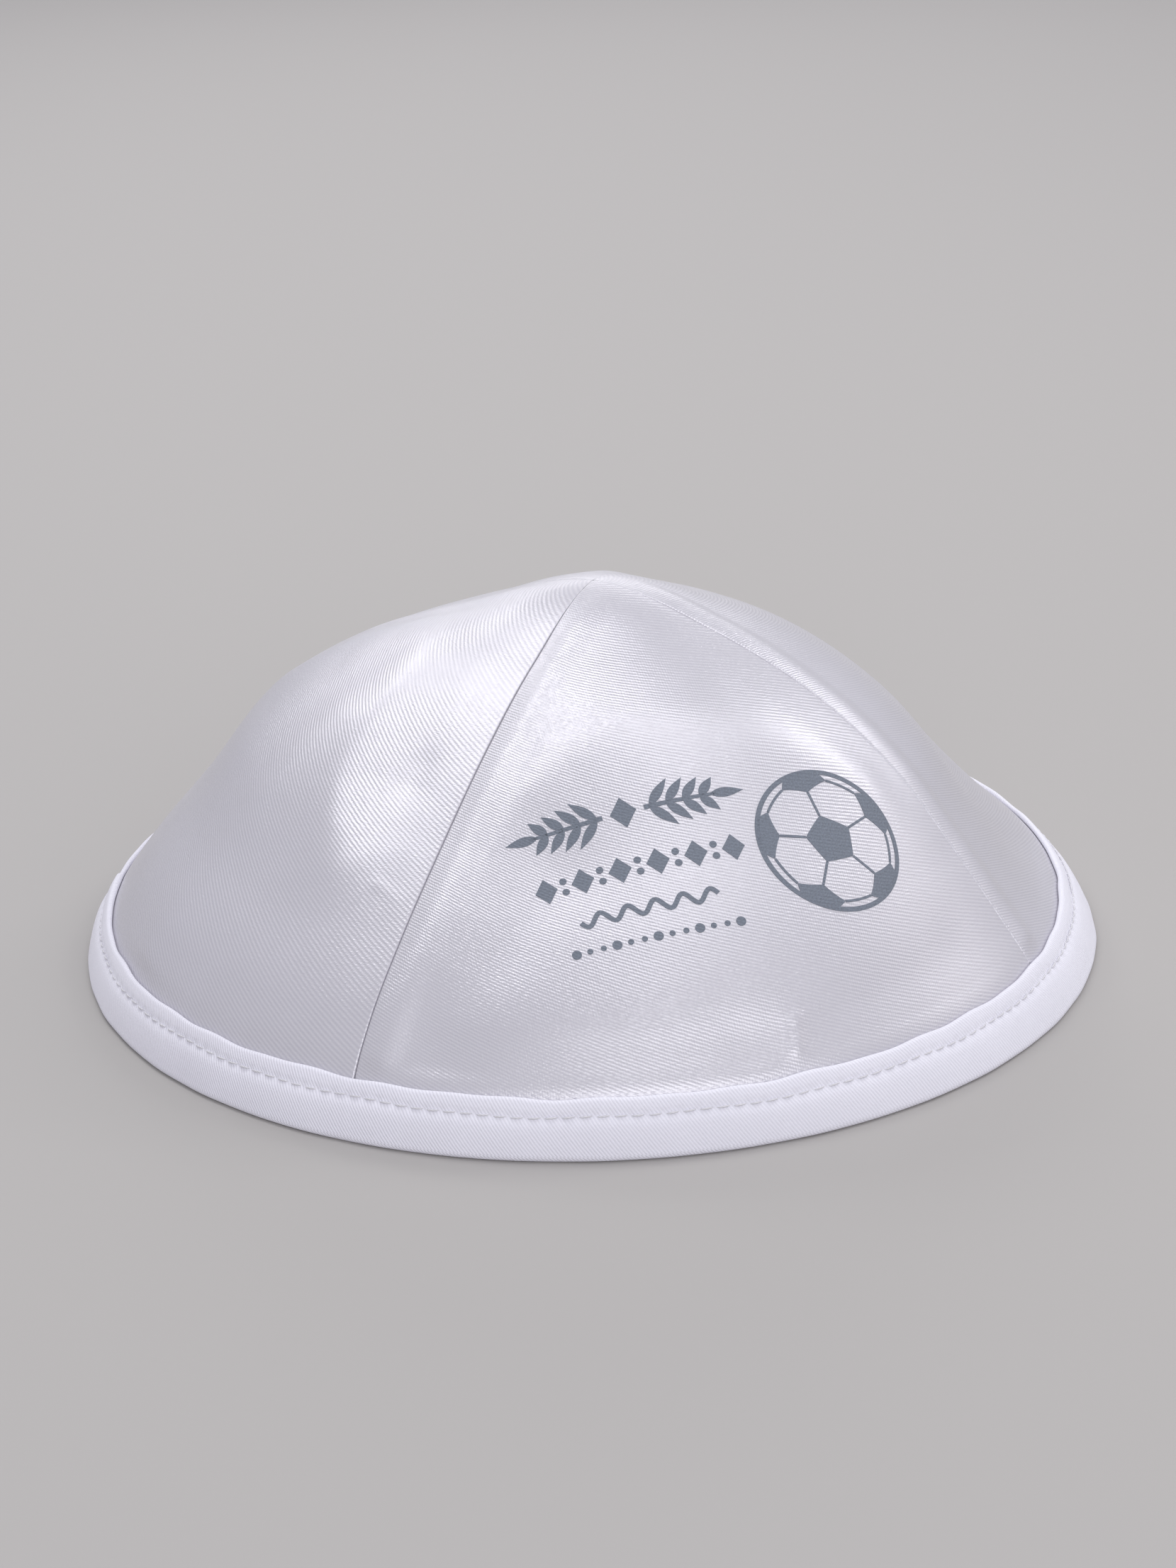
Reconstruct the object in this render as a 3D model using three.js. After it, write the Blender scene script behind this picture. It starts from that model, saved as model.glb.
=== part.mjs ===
// A kippah: a soft skullcap sewn from four satin panels that meet at the crown, its lower edge bound with a folded tape.
// It rests on the binding. +Z is up, -Y is the front, and the origin is the centre of the rim on the surface below it.
// All lengths are in millimetres and all angles in degrees. An azimuth is counted from the front towards the right (+X).
import * as THREE from 'three';

// Driving dimensions
const SATIN_RADIUS = 83.7; // of the panels at the rim, inside the binding's outer leg
const CROWN_HEIGHT = 62.5; // from the surface below to the tip of the crown
const TIP_RIGHT = 1.8; // how far the soft crown leans from the centre of the rim
const TIP_BACK = 0.6;
const CLOTH = 1; // thickness of a panel, satin and backing together
const TAPE = 1; // thickness of each leg of the binding
const BINDING_HEIGHT = 9.2;
const BINDING_FLOOR = 1.2; // thickness of the fold under the panels' lower edge
const BINDING_ROUND = 0.7; // how far the fold's lower corners are taken in
const CLEARANCE = 0.3; // between a panel and the binding, and between two panels
const TIP_RADIUS = 0.6; // the panels' points stop this far from the tip of the crown
const SEAM_TURN = 1.4; // width of the edge that turns down into a seam
const SEAM_SINK = 0.45; // how deep that edge turns down
const ALLOWANCE_WIDTH = 6; // the seam allowance that lies under the left edge of each panel
const ALLOWANCE_RISE = 0.35; // how far it lifts the satin
const ALLOWANCE_EDGE = 3; // the satin comes down beside it over this width
const ALLOWANCE_TRIM = 12; // it is trimmed away where the panel is narrower than this, and whole from twice the width on
const FOLD_WIDTH = 10; // the widths and depths of the folds below are shares of these two
const FOLD_DEPTH = 1.5;
const HEM_FADE = 3; // folds and seam edges die out over this height above the binding

// Mesh steps
const BOUND_ROWS = 2;
const FREE_ROWS = 16;
const EDGE_COLUMNS = [0, 0.015, 0.055];
const INNER_COLUMNS = 13;
const RIM_STEPS = 72;
const LOWEST_ELEVATION = -30; // below the binding's foot

// The four seams run from the rim to the tip at these azimuths, in order. Each panel lies between two of them.
const SEAM_AZIMUTHS = [-27, 61, 152, 243];
const PANELS = ['panel_front', 'panel_right', 'panel_rear', 'panel_left'];

// The form of the crown. Each row is a section at one elevation seen from the centre of the rim. Its columns are the
// distance of the satin from that centre, as a share of an even dome's, on each seam and in the middle of each panel.
const SECTIONS = [
  { elevation: 0, seams: [1, 1, 1, 1], panels: [1, 1, 1, 1] },
  { elevation: 8, seams: [0.98, 0.965, 0.985, 0.965], panels: [0.985, 0.95, 0.97, 0.975] },
  { elevation: 16, seams: [0.94, 0.925, 0.945, 0.925], panels: [0.95, 0.89, 0.935, 0.94] },
  { elevation: 28, seams: [0.88, 0.895, 0.91, 0.895], panels: [0.9, 0.85, 0.895, 0.89] },
  { elevation: 42, seams: [0.845, 0.9, 0.9, 0.91], panels: [0.87, 0.865, 0.875, 0.885] },
  { elevation: 58, seams: [0.86, 0.92, 0.905, 0.92], panels: [0.895, 0.9, 0.88, 0.895] },
  { elevation: 74, seams: [0.92, 0.95, 0.93, 0.94], panels: [0.94, 0.94, 0.925, 0.935] },
  { elevation: 90, seams: [1, 1, 1, 1], panels: [1, 1, 1, 1] },
];

// The folds and dents of the soft satin. Each row is a line of points on one panel. Across runs from the panel's left
// seam to its right seam as seen from outside, and up from the rim to the tip. A ridge has a positive depth.
const FOLDS = [
  {
    panel: 'panel_front',
    across: [0.05, 0.12, 0.35, 0.65, 0.8, 0.9],
    up: [0.3, 0.56, 0.69, 0.68, 0.61, 0.49],
    width: 0.8,
    depth: 0.55,
  },
  { panel: 'panel_front', across: [0.09, 0.24], up: [0.2, 0.43], width: 0.8, depth: -0.6 },
  { panel: 'panel_front', across: [0.5, 0.86], up: [0.16, 0.19], width: 0.6, depth: -0.4 },
  { panel: 'panel_right', across: [0.3, 0.5], up: [0.2, 0.6], width: 1.4, depth: -0.6 },
  { panel: 'panel_rear', across: [0.25, 0.4], up: [0.2, 0.6], width: 1.2, depth: 0.6 },
  { panel: 'panel_rear', across: [0.75, 0.6], up: [0.2, 0.55], width: 1.1, depth: -0.7 },
  {
    panel: 'panel_left',
    across: [0.1, 0.15, 0.4, 0.6, 0.7, 0.83],
    up: [0.5, 0.64, 0.74, 0.68, 0.52, 0.4],
    width: 0.8,
    depth: 0.8,
  },
  { panel: 'panel_left', across: [0.53, 0.56, 0.575], up: [0.6, 0.4, 0.15], width: 0.7, depth: 0.35 },
];

const radians = THREE.MathUtils.degToRad;
const degrees = THREE.MathUtils.radToDeg;

const MERIDIAN = (Math.PI / 4) * (SATIN_RADIUS + CROWN_HEIGHT); // roughly the length from the rim to the tip

// Smooth curve through (xs, ys), level at its last point.
function curveThrough(x, xs, ys) {
  const last = xs.length - 1;
  const rise = (i) => (ys[i + 1] - ys[i]) / (xs[i + 1] - xs[i]);
  const slope = (i) => {
    if (i === 0) return rise(0);
    if (i === last) return 0;
    const before = xs[i] - xs[i - 1];
    const after = xs[i + 1] - xs[i];
    return (rise(i - 1) * after + rise(i) * before) / (before + after);
  };
  let i = 0;
  while (i < last - 1 && x > xs[i + 1]) i += 1;
  const step = xs[i + 1] - xs[i];
  const t = (x - xs[i]) / step;
  const t2 = t * t;
  const t3 = t2 * t;
  return (
    (2 * t3 - 3 * t2 + 1) * ys[i] +
    (t3 - 2 * t2 + t) * step * slope(i) +
    (3 * t2 - 2 * t3) * ys[i + 1] +
    (t3 - t2) * step * slope(i + 1)
  );
}

const ELEVATIONS = SECTIONS.map((section) => section.elevation);
const onSeam = (seam, elevation) =>
  curveThrough(elevation, ELEVATIONS, SECTIONS.map((section) => section.seams[seam]));
const onMiddle = (panel, elevation) =>
  curveThrough(elevation, ELEVATIONS, SECTIONS.map((section) => section.panels[panel]));

// Azimuth of a place across a panel, from 0 at its left seam to 1 at its right seam.
function azimuthOf(panel, across) {
  const start = SEAM_AZIMUTHS[panel];
  const end = panel + 1 < SEAM_AZIMUTHS.length ? SEAM_AZIMUTHS[panel + 1] : SEAM_AZIMUTHS[0] + 360;
  return start + across * (end - start);
}

// The crown before its folds: a share of an even dome that runs from seam to seam through the panel's middle.
function domePoint(panel, across, elevation) {
  const left = onSeam(panel, elevation);
  const right = onSeam((panel + 1) % PANELS.length, elevation);
  const swell = onMiddle(panel, elevation) - (left + right) / 2;
  const share =
    left + (right - left) * THREE.MathUtils.smoothstep(across, 0, 1) + swell * 4 * across * (1 - across);
  const azimuth = radians(azimuthOf(panel, across));
  const flat = SATIN_RADIUS * share * Math.cos(radians(elevation));
  const height = CROWN_HEIGHT * share * Math.sin(radians(elevation));
  const lean = (height / CROWN_HEIGHT) ** 2;
  return new THREE.Vector3(
    flat * Math.sin(azimuth) + TIP_RIGHT * lean,
    -flat * Math.cos(azimuth) + TIP_BACK * lean,
    height,
  );
}

// Width of a panel at an elevation, along its curve from seam to seam.
const panelWidth = (elevation) => (Math.PI / 2) * SATIN_RADIUS * Math.cos(radians(elevation));

// How far one fold lifts the satin: a bell across the nearest stretch of its line.
function foldLift(fold, across, elevation) {
  const place = (a, e) => new THREE.Vector3((a - 0.5) * panelWidth(elevation), (e / 90) * MERIDIAN, 0);
  const here = place(across, elevation);
  const corners = fold.across.map((a, i) => place(a, fold.up[i] * 90));
  const distances = corners.slice(1).map((corner, i) => {
    const stretch = new THREE.Line3(corners[i], corner);
    return stretch.closestPointToPoint(here, true, new THREE.Vector3()).distanceTo(here);
  });
  const share = Math.min(...distances) / (fold.width * FOLD_WIDTH);
  return fold.depth * FOLD_DEPTH * Math.exp(-share * share);
}

// The folds of a panel together. They die out at its seams.
function foldsAt(panel, across, elevation) {
  const lift = FOLDS.filter((fold) => fold.panel === PANELS[panel]).reduce(
    (sum, fold) => sum + foldLift(fold, across, elevation),
    0,
  );
  const nearest = Math.min(across, 1 - across) * panelWidth(elevation);
  return lift * THREE.MathUtils.smoothstep(nearest, 0, FOLD_WIDTH);
}

// How far a panel turns down beside its seams, and how far the allowance under its left edge lifts its face.
function seamSink(across, elevation) {
  const nearest = Math.min(across, 1 - across) * panelWidth(elevation);
  return SEAM_SINK * (1 - THREE.MathUtils.smoothstep(nearest, 0, SEAM_TURN));
}

function allowanceRise(across, elevation) {
  const width = panelWidth(elevation);
  const edge = ALLOWANCE_WIDTH + ALLOWANCE_EDGE / 2;
  const over = 1 - THREE.MathUtils.smoothstep(across * width, edge - ALLOWANCE_EDGE, edge);
  const narrow = THREE.MathUtils.smoothstep(width, ALLOWANCE_TRIM, 2 * ALLOWANCE_TRIM);
  return ALLOWANCE_RISE * over * narrow;
}

// Outward direction of the crown. On a seam it lies in the seam's own plane, so that two panels meet in a mitre.
function domeNormal(panel, across, elevation) {
  const reach = 0.002;
  const turn = 0.2;
  const sideways = domePoint(panel, Math.min(across + reach, 1), elevation).sub(
    domePoint(panel, Math.max(across - reach, 0), elevation),
  );
  const upwards = domePoint(panel, across, Math.min(elevation + turn, 90)).sub(
    domePoint(panel, across, elevation - turn),
  );
  const normal = sideways.cross(upwards).normalize();
  if (across === 0 || across === 1) {
    const azimuth = radians(azimuthOf(panel, across));
    const beside = new THREE.Vector3(Math.cos(azimuth), Math.sin(azimuth), 0);
    normal.addScaledVector(beside, -normal.dot(beside)).normalize();
  }
  return normal;
}

// Direction in which the layers lie on each other: level at the hem, and square to the crown from halfway up the binding.
function layerDirection(panel, across, elevation) {
  const normal = domeNormal(panel, across, elevation);
  const { z: height } = domePoint(panel, across, elevation);
  const square = THREE.MathUtils.smoothstep(height, BINDING_FLOOR + CLEARANCE, BINDING_HEIGHT / 2);
  return normal.setZ(square * normal.z).normalize();
}

// Elevation at which the crown reaches a height above the surface below, found by halving.
function elevationAt(panel, across, height) {
  const halvings = 40;
  let low = LOWEST_ELEVATION;
  let high = 90;
  for (let i = 0; i < halvings; i += 1) {
    const middle = (low + high) / 2;
    if (domePoint(panel, across, middle).z < height) low = middle;
    else high = middle;
  }
  return (low + high) / 2;
}

// Heights at which the panels and the binding both have points, so that they keep their clearance between them.
const BOUND_HEIGHTS = Array.from(
  { length: BOUND_ROWS + 1 },
  (_, i) => THREE.MathUtils.lerp(BINDING_FLOOR + CLEARANCE, BINDING_HEIGHT, i / BOUND_ROWS),
);

// Elevations of the points up one column of a panel: some inside the binding, and the rest from there to the tip.
function columnElevations(panel, across) {
  const bound = BOUND_HEIGHTS.map((height) => elevationAt(panel, across, height));
  const edge = bound[BOUND_ROWS];
  const tip = 90 - degrees(Math.atan(TIP_RADIUS / SATIN_RADIUS));
  const free = Array.from({ length: FREE_ROWS }, (_, i) => edge + ((i + 1) / FREE_ROWS) * (tip - edge));
  return [...bound, ...free];
}

// Loft through closed loops of points, each with as many points as the next. The first and last loop are capped as
// strips, because a panel's loop runs along its face and back along its inside. A ring of loops needs no caps.
function loftGeometry(loops, isRing) {
  const points = loops[0].length;
  const index = [];
  const quad = (a, b, c, d) => index.push(a, b, c, a, c, d);
  const spans = isRing ? loops.length : loops.length - 1;
  for (let i = 0; i < spans; i += 1) {
    const next = (i + 1) % loops.length;
    for (let j = 0; j < points; j += 1) {
      const beside = (j + 1) % points;
      quad(i * points + j, i * points + beside, next * points + beside, next * points + j);
    }
  }
  if (!isRing) {
    const top = (loops.length - 1) * points;
    for (let j = 0; j < points / 2 - 1; j += 1) {
      const across = points - 1 - j;
      quad(j, across, across - 1, j + 1);
      quad(top + j, top + j + 1, top + across - 1, top + across);
    }
  }
  const geometry = new THREE.BufferGeometry();
  const corners = loops.flat().flatMap((point) => point.toArray());
  geometry.setAttribute('position', new THREE.Float32BufferAttribute(corners, 3));
  geometry.setIndex(index);
  geometry.computeVertexNormals();
  return geometry;
}

// Places across a panel, closer together beside the seams.
function columnPlaces() {
  const first = EDGE_COLUMNS[EDGE_COLUMNS.length - 1];
  const step = (1 - 2 * first) / INNER_COLUMNS;
  const inner = Array.from({ length: INNER_COLUMNS - 1 }, (_, i) => first + (i + 1) * step);
  return [...EDGE_COLUMNS, ...inner, ...EDGE_COLUMNS.map((place) => 1 - place).reverse()];
}

// One panel: the satin face and its inside, a cloth's thickness apart, with half the clearance kept at each seam.
function panelGeometry(panel) {
  const columns = columnPlaces();
  const heights = columns.map((column) => columnElevations(panel, column));
  const loops = heights[0].map((_, row) => {
    const face = [];
    const inside = [];
    columns.forEach((column, i) => {
      const elevation = heights[i][row];
      const cut = CLEARANCE / 2 / panelWidth(elevation);
      const across = cut + column * (1 - 2 * cut);
      const place = domePoint(panel, across, elevation);
      const isSeam = column === 0 || column === 1;
      const out = layerDirection(panel, isSeam ? column : across, elevation);
      const free = THREE.MathUtils.smoothstep(place.z, BINDING_HEIGHT, BINDING_HEIGHT + HEM_FADE);
      const level = free * (foldsAt(panel, across, elevation) - seamSink(across, elevation));
      face.push(place.clone().addScaledVector(out, level + free * allowanceRise(across, elevation)));
      inside.push(place.clone().addScaledVector(out, level - CLOTH));
    });
    return [...face, ...inside.reverse()];
  });
  return loftGeometry(loops, false);
}

// The binding: a tape folded round the panels' lower edge, with one leg outside, one inside and a flat foot.
function bindingGeometry() {
  const outerGap = CLEARANCE;
  const innerGap = -CLOTH - CLEARANCE;
  const outerFace = outerGap + TAPE;
  const innerFace = innerGap - TAPE;
  const upwards = (out, lowest) => [lowest, ...BOUND_HEIGHTS].map((height) => ({ out, height }));
  const section = [
    ...upwards(innerFace, BINDING_ROUND),
    ...upwards(innerGap, BINDING_FLOOR).reverse(),
    ...upwards(outerGap, BINDING_FLOOR),
    ...upwards(outerFace, BINDING_ROUND).reverse(),
    { out: outerFace - BINDING_ROUND, height: 0 },
    { out: innerFace + BINDING_ROUND, height: 0 },
  ];
  const loops = [];
  for (let step = 0; step < RIM_STEPS; step += 1) {
    const around = (step / RIM_STEPS) * PANELS.length;
    const panel = Math.floor(around);
    const across = around - panel;
    loops.push(
      section.map(({ out, height }) => {
        const elevation = elevationAt(panel, across, height);
        return domePoint(panel, across, elevation).addScaledVector(
          layerDirection(panel, across, elevation),
          out,
        );
      }),
    );
  }
  return loftGeometry(loops, true);
}

const satin = new THREE.MeshStandardMaterial({ color: 0xeeeef2, roughness: 0.35, metalness: 0, side: THREE.FrontSide });
const tape = new THREE.MeshStandardMaterial({ color: 0xf0eff4, roughness: 0.75, metalness: 0 });

function namedMesh(name, geometry, material) {
  const mesh = new THREE.Mesh(geometry, material);
  mesh.name = name;
  return mesh;
}

const kippah = new THREE.Group();
PANELS.forEach((name, panel) => kippah.add(namedMesh(name, panelGeometry(panel), satin)));
kippah.add(namedMesh('edge_binding', bindingGeometry(), tape));

export default kippah;
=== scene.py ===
"""A kippah: a soft skullcap of four satin panels with a bound edge, its stitches and its print.

Every surface is worked out from the same crown as the solids in the frame. Lengths are in metres, and in
millimetres on the flat cloth and in the print.
"""

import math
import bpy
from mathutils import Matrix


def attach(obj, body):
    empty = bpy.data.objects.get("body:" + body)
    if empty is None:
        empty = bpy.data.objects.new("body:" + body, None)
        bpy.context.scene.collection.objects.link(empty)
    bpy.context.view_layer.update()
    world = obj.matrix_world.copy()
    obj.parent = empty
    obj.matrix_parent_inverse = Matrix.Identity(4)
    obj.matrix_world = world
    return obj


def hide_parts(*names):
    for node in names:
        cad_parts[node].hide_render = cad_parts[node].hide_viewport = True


bl_info = {
    "name": "Satin Kippah",
    "version": (1, 0, 0),
    "blender": (4, 5, 0),
    "location": "View3D > Sidebar > Kippah",
    "description": "Makes a four-panel satin skullcap with a bound edge, its stitches and its print",
    "category": "Add Mesh",
}

import bpy
import numpy as np
from bpy.props import FloatProperty, FloatVectorProperty, IntProperty, PointerProperty
from mathutils import Matrix, Vector

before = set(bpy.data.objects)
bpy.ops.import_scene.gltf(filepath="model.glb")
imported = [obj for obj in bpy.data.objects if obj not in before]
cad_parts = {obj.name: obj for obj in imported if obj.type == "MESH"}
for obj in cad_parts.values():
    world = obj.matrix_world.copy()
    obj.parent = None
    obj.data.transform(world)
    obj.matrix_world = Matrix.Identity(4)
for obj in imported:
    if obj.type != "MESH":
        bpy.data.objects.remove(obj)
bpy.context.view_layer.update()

MM = 0.001
QUARTER = math.pi / 2
SHARP_ANGLE = math.radians(50)
PHOTO_HEIGHT = 2212  # pixels, the photograph's long side
SENSOR = 36  # millimetres, for the long side

# The seams run from the rim to the tip at these azimuths, counted from the front towards the right.
FRONT, RIGHT, REAR, LEFT = range(4)
PANELS = ("panel_front", "panel_right", "panel_rear", "panel_left")
SEAM_AZIMUTHS = np.radians((-27, 61, 152, 243, 333))

# The form of the crown: at each elevation, the distance of the satin from the centre of the rim as a share of
# an even dome's, on the four seams and in the middle of the four panels.
SECTIONS = (
    # elevation, seams, panels
    (0, (1, 1, 1, 1), (1, 1, 1, 1)),
    (8, (0.98, 0.965, 0.985, 0.965), (0.985, 0.95, 0.97, 0.975)),
    (16, (0.94, 0.925, 0.945, 0.925), (0.95, 0.89, 0.935, 0.94)),
    (28, (0.88, 0.895, 0.91, 0.895), (0.9, 0.85, 0.895, 0.89)),
    (42, (0.845, 0.9, 0.9, 0.91), (0.87, 0.865, 0.875, 0.885)),
    (58, (0.86, 0.92, 0.905, 0.92), (0.895, 0.9, 0.88, 0.895)),
    (74, (0.92, 0.95, 0.93, 0.94), (0.94, 0.94, 0.925, 0.935)),
    (90, (1, 1, 1, 1), (1, 1, 1, 1)),
)
ELEVATIONS = np.radians([row[0] for row in SECTIONS])
SHARES = np.array([row[1] + row[2] for row in SECTIONS])

# The folds and dents of the satin, each along a line of points. Across runs from a panel's left seam to its
# right one as seen from outside, and up from the rim to the tip. The width of the flanks and of the crest are
# shares of the fold width, and the depth is a share of the fold depth, below zero for a hollow.
FOLDS = (
    # panel, across, up, flank, crest, depth
    (  # the arch over the print
        FRONT,
        (0.05, 0.07, 0.12, 0.22, 0.35, 0.5, 0.65, 0.8, 0.9),
        (0.3, 0.43, 0.56, 0.65, 0.69, 0.695, 0.68, 0.61, 0.49),
        0.6,
        0.5,
        0.55,
    ),
    (FRONT, (0.09, 0.24), (0.2, 0.43), 0.6, 0.6, -0.6),
    (FRONT, (0.1, 0.5), (0.15, 0.16), 0.5, 0.4, -0.25),
    (FRONT, (0.5, 0.86), (0.16, 0.19), 0.5, 0.4, -0.4),
    (FRONT, (0.562, 0.572), (0.13, 0.175), 0.12, 0.05, 0.45),
    (RIGHT, (0.3, 0.5), (0.2, 0.6), 1, 1, -0.6),
    (REAR, (0.25, 0.4), (0.2, 0.6), 0.9, 0.8, 0.6),
    (REAR, (0.75, 0.6), (0.2, 0.55), 0.8, 0.8, -0.7),
    (  # the ridge of the left panel
        LEFT,
        (0.1, 0.15, 0.25, 0.4, 0.52, 0.6, 0.65, 0.7, 0.76, 0.83),
        (0.52, 0.67, 0.75, 0.78, 0.75, 0.69, 0.6, 0.52, 0.46, 0.4),
        0.85,
        0.4,
        0.85,
    ),
    (LEFT, (0.6, 0.64, 0.7, 0.765), (0.69, 0.59, 0.52, 0.455), 0.3, 0.1, 0.1),
    (LEFT, (0.53, 0.56, 0.575), (0.6, 0.4, 0.15), 0.5, 0.5, 0.35),
    (LEFT, (0.86, 0.865), (0.6, 0.57), 0.3, 0.3, -0.25),
    (LEFT, (0.92, 0.98), (0.385, 0.365), 0.08, 0.04, 0.1),
)

# Where the puckers and seam allowances fade in: off a seam, above the binding, and with the panel's width.
SEAM_FADE = 2 * MM
BINDING_FADE = 3 * MM
NARROW_FADE = (8 * MM, 24 * MM)
FULL_ROLL_WIDTH = 25 * MM  # of a panel, from which its edges roll in full
LEAST_ROLL = 0.05
ALLOWANCE_FADE = (-0.2, 0.7, 1.5)  # starts to rise, is highest and ends, as shares of its width from the seam

# Waves that close round the rim.
EDGE_WAVES = ((31, 1), (19, 0), (47, 2))  # count, shift
STITCH_WAVES = ((13, 0.5), (29, 2))
EDGE_WAVER = 0.06 * MM
STITCH_WAVER = 0.08 * MM

# Where the ends of the tape overlap: at the left of the rim, a step that runs out again behind it.
JOINT_AZIMUTH = math.radians(264)
JOINT_STEP = math.radians(1.2)
JOINT_FADE = math.radians(20)
JOINT_RISE = 0.7 * MM
JOINT_THICKNESS = 0.25 * MM

# The weaves, in millimetres, and how far their ribs lean down to the right.
TWILL_PITCH = 0.6
TWILL_LEAN = math.radians(26)
YARN_PITCH = 0.4
TAPE_PITCH = 0.45
TAPE_LEAN = math.radians(52)
THREAD_PITCH = 0.3
THREAD_LEAN = math.radians(45)
BAND_PERIOD = 0.3142  # of a wave texture at scale 1

# What the colour is multiplied by, at the most, on the threads and the ribs.
THREAD_TINT = (0.93, 0.93, 0.94, 1)
RIB_TINT = (0.88, 0.88, 0.9, 1)
TAPE_TINT = (0.9, 0.9, 0.91, 1)

# The rows of ornament beside the roundel, from the top: the middle of each row and its length and height in
# millimetres on the panel, counted from the middle of the print.
ORNAMENT_ROWS = (
    # kind, along, up, length, height
    ("sprig", -9.4, 13.4, 39, 8.4),
    ("diamonds", -9.4, 3.7, 34, 4.6),
    ("wave", -9.8, -3.7, 22, 2.8),
    ("dots", -9.8, -9, 28, 1.6),
)
ROUNDEL_MIDDLE = (22.4, 3.4)
BALL_LINE = 0.42  # between the ball's panels
BALL_RIM = 0.8
SHAPE_STEPS = 9  # points along a diamond or a dot
POINT = 0.02  # width of a pointed end, as a share of the widest place

# The lamps face a point a little above the surface.
LIGHTS_AIM = (0, 0, 30 * MM)
WHITE = (1, 1, 1)
LIGHTS = (
    # name, place, width, height, watts, colour
    ("overhead strip", (0.05, 0.05, 1), 0.85, 0.12, 1.8, WHITE),
    ("left window", (-0.36, 0.24, 0.93), 0.32, 0.18, 1, WHITE),
    ("left rear window", (-0.44, 0.68, 0.62), 0.3, 0.2, 0.95, WHITE),
    ("rear strip", (0, 0.94, 0.37), 0.6, 0.2, 0.83, WHITE),
    ("right window", (0.62, 0.34, 0.7), 0.22, 0.44, 1.55, WHITE),
    ("warm window", (0.89, 0.16, 0.45), 0.3, 0.3, 0.35, (1, 0.94, 0.9)),
    ("front fill", (0.2, -0.88, 0.45), 1, 0.4, 3, WHITE),
)
SKY_COLOUR = (0.92, 0.92, 1, 1)
SKY_STRENGTH = 0.63
FLOOR_REACH = 4


def length_prop(name, millimetres, description):
    """A length that can be set in the sidebar."""
    return FloatProperty(name=name, description=description, default=millimetres * MM, unit="LENGTH")


def angle_prop(name, degrees, description):
    """An angle that can be set in the sidebar."""
    return FloatProperty(
        name=name, description=description, default=math.radians(degrees), unit="ROTATION"
    )


def colour_prop(name, value):
    """A colour that can be set in the sidebar."""
    return FloatVectorProperty(
        name=name, description=f"Colour of the {name.lower()}", default=value, subtype="COLOR"
    )


class CrownSizes(bpy.types.PropertyGroup):
    """Sizes of the four satin panels."""

    satin_radius: length_prop("Satin radius", 83.7, "Radius of the panels at the rim, inside the binding")
    crown_height: length_prop("Crown height", 62.5, "From the surface below to the tip of the crown")
    tip_right: length_prop("Tip to the right", 1.8, "How far the crown leans to the right")
    tip_back: length_prop("Tip to the back", 0.6, "How far the crown leans to the back")
    cloth: length_prop("Cloth", 1, "Thickness of the satin and its backing")
    edge_roll: length_prop("Edge roll", 0.6, "Radius of a panel's left edge, which turns down into the seam")
    edge_tuck: length_prop("Edge tuck", 0.22, "Radius of a panel's right edge, under its neighbour")
    seam_gap: length_prop("Seam gap", 0.04, "Between two panels in a seam")
    allowance_width: length_prop("Allowance width", 5.2, "Width of the seam allowance, at the left seam")
    allowance_rise: length_prop("Allowance rise", 0.45, "How far the seam allowance lifts the satin")
    fold_width: length_prop("Fold width", 10, "Width that the folds are shares of")
    fold_depth: length_prop("Fold depth", 1.5, "Depth that the folds are shares of")
    pucker: length_prop("Pucker", 0.05, "Height of the small puckers beside the seams and above the binding")


class BindingSizes(bpy.types.PropertyGroup):
    """Sizes of the folded tape round the rim and of its stitches."""

    height: length_prop("Height", 9.2, "Height of the tape's legs, along the rim")
    tape: length_prop("Tape", 1, "Thickness of each leg of the tape")
    foot: length_prop("Foot", 1.2, "Thickness of the fold under the panels")
    clearance: length_prop("Clearance", 0.3, "Between the tape and the panels")
    stitch_count: IntProperty(
        name="Stitches",
        description="Stitches round the binding",
        default=198,
        min=20,
    )
    stitch_drop: length_prop("Stitch line", 2.5, "How far the stitches lie below the tape's upper edge")
    thread: length_prop("Thread", 0.34, "Thickness of the sewing thread")


class PrintSizes(bpy.types.PropertyGroup):
    """Sizes of the print on the front panel."""

    film: length_prop("Film", 0.07, "How far the print stands out of the satin")
    roundel_radius: length_prop("Roundel radius", 12.7, "Radius of the ball beside the ornament")
    middle_elevation: angle_prop("Elevation", 38, "Of the print's middle, from the centre of the rim")


class Finishes(bpy.types.PropertyGroup):
    """Colours of the cloth, thread, print and floor."""

    satin: colour_prop("Satin", (0.7, 0.685, 0.724))
    tape: colour_prop("Twill tape", (0.9, 0.89, 0.97))
    # darker than the tape, whose white the thread shares: painted shade on the stitches
    thread: colour_prop("Sewing thread with painted shade", (0.74, 0.73, 0.77))
    ink: colour_prop("Print", (0.17, 0.195, 0.24))
    floor: colour_prop("Floor", (0.42, 0.405, 0.39))


class StageSettings(bpy.types.PropertyGroup):
    """Place and lens of the camera."""

    distance: length_prop("Distance", 649.1, "From the camera to the centre of the rim")
    elevation: angle_prop("Elevation", 24.07, "Of the camera, from the centre of the rim")
    aim_drop: angle_prop("Aim", 2.2, "How far the centre of the rim lies below the middle of the view")
    roll: angle_prop("Roll", -1.68, "Roll of the camera")
    focal_pixels: FloatProperty(
        name="Focal length", description="In pixels of the photograph", default=5400
    )


def smooth_step(value, low, high):
    """0 up to low, 1 from high on, and an even S between them: 3 t^2 - 2 t^3."""
    t = np.clip((value - low) / (high - low), 0, 1)
    return t * t * (3 - 2 * t)


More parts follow.
